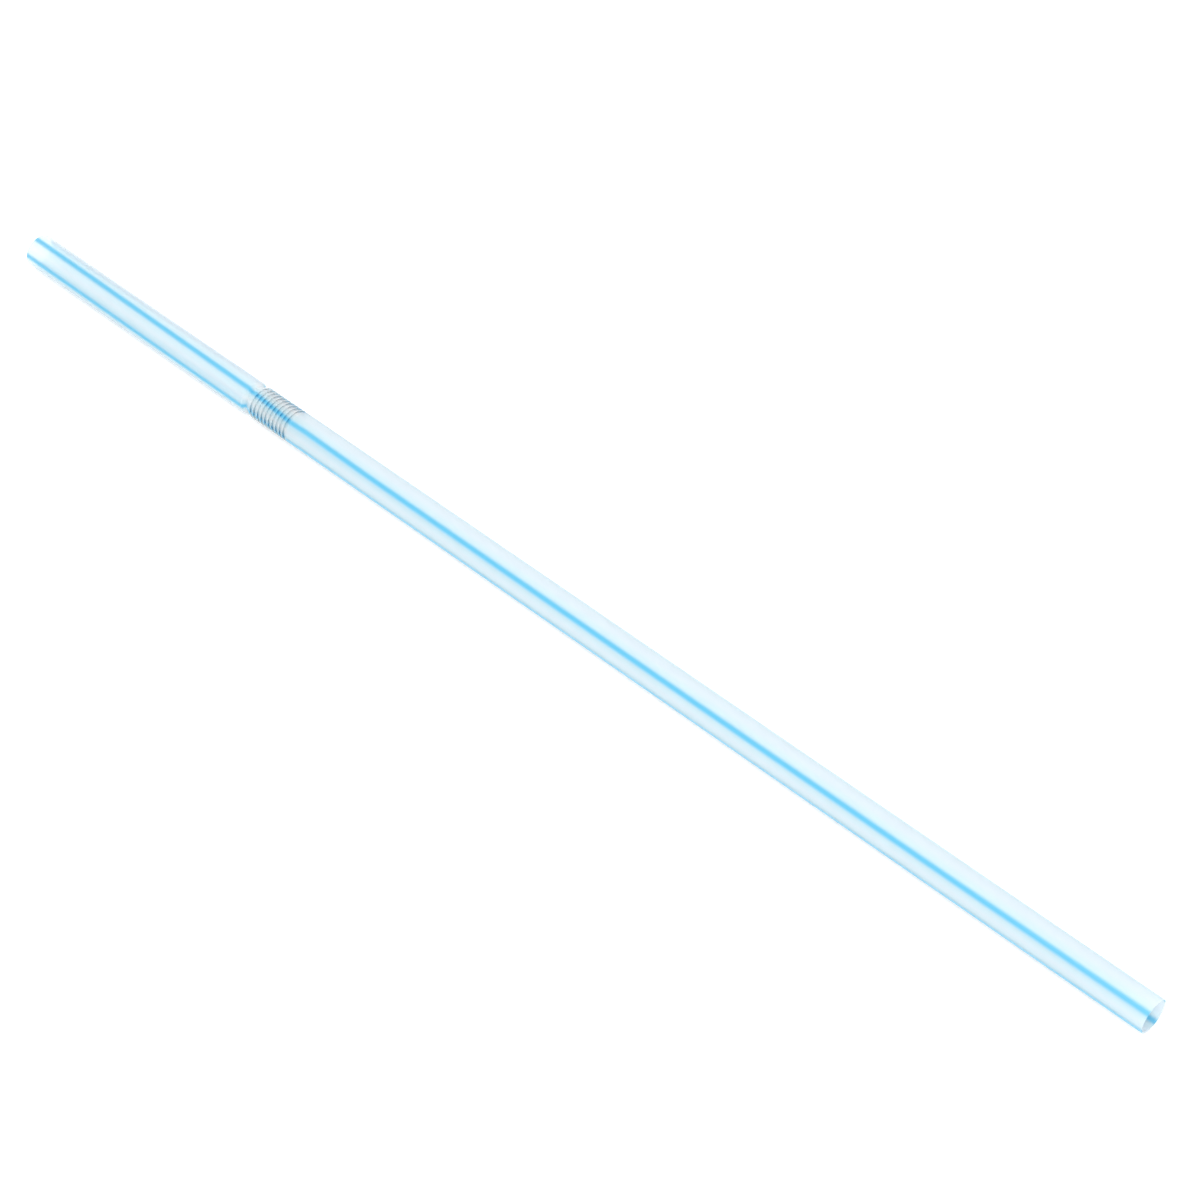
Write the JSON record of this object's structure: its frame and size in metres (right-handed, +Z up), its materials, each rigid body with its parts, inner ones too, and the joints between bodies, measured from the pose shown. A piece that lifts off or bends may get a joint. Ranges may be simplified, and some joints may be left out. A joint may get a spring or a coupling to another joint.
{
  "type": "plastic drinking straw",
  "caption": "Flexible drinking straw: a long thin round tube with a short closed ring of folded pleats near its mouth end, pale translucent plastic with coloured stripes.",
  "frame": {"origin": "on the surface the straw lies on, under the middle of its length", "axes": "+X along the tube towards the lower end of the long stem, +Z up, the mouth end on the -X side"},
  "size_m": [0.24, 0.0058, 0.0059],
  "materials": {
    "straw_film": "hazy translucent film, extruded"
  },
  "bodies": {
    "root": {"straw": "straw_film"}
  },
  "joints": []
}
